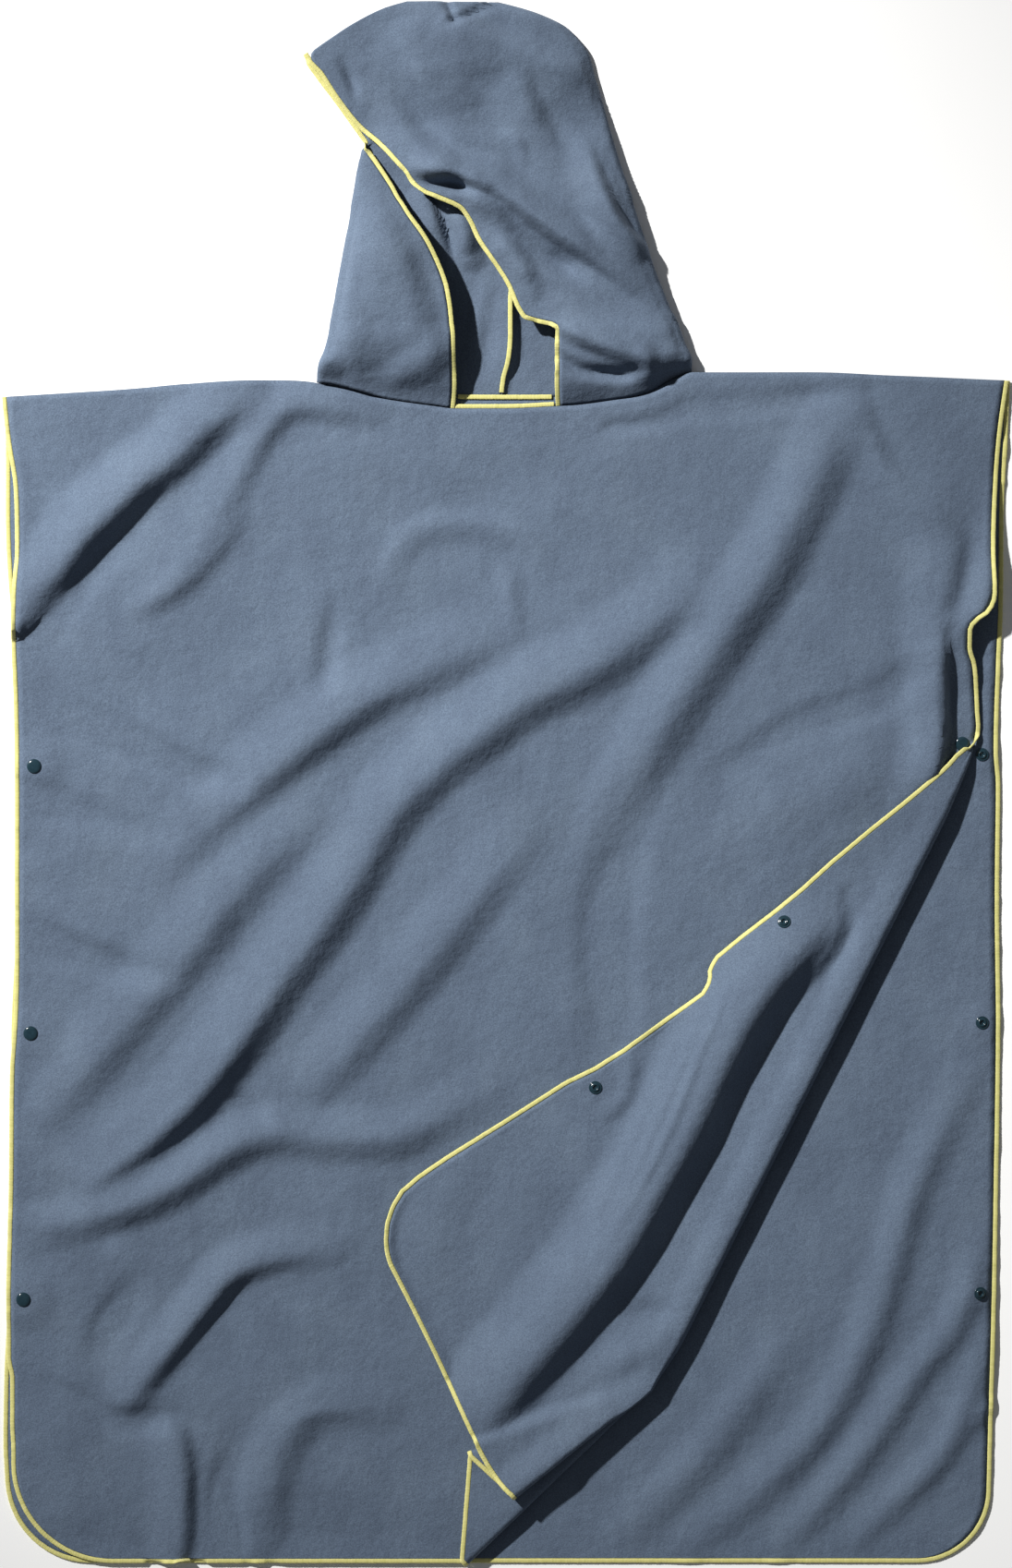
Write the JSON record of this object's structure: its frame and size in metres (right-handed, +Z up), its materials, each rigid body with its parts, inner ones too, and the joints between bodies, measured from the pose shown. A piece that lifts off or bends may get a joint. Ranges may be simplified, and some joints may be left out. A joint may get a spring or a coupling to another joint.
{
  "type": "hooded bath poncho",
  "caption": "Hooded bath poncho of plain grey-blue microfibre with contrast yellow edging and side press fasteners, laid flat with one front corner turned back.",
  "frame": {"origin": "on the surface it lies on, under the middle of the whole outline", "axes": "+Z up from the surface, +Y towards the hood, +X to the right of someone looking down at its front"},
  "size_m": [0.858, 1.3261, 0.0265],
  "materials": {
    "cloth": "matte suede-like microfibre, short nap",
    "edging": "dense overlock stitching in yellow thread",
    "plastic": "smooth dark teal moulded plastic"
  },
  "bodies": {
    "root": {"back_edging": "edging", "back_panel": "cloth", "back_seam_edging": "edging", "cap_back_left_1": "plastic", "cap_back_left_2": "plastic", "cap_back_left_3": "plastic", "cap_back_right_1": "plastic", "cap_back_right_2": "plastic", "cap_back_right_3": "plastic", "cap_front_left_1": "plastic", "cap_front_left_2": "plastic", "cap_front_left_3": "plastic", "cap_front_right_1": "plastic", "cap_front_right_2": "plastic", "cap_front_right_3": "plastic", "front_edging": "edging", "front_panel": "cloth", "hood_edging_left": "edging", "hood_edging_right": "edging", "hood_edging_tip": "edging", "hood_left": "cloth", "hood_right": "cloth", "neck_edging": "edging", "neck_seam_edging": "edging", "socket_back_left_1": "plastic", "socket_back_left_2": "plastic", "socket_back_left_3": "plastic", "socket_back_right_1": "plastic", "socket_back_right_2": "plastic", "socket_back_right_3": "plastic", "stud_front_left_1": "plastic", "stud_front_left_2": "plastic", "stud_front_left_3": "plastic", "stud_front_right_1": "plastic", "stud_front_right_2": "plastic", "stud_front_right_3": "plastic"}
  },
  "joints": []
}
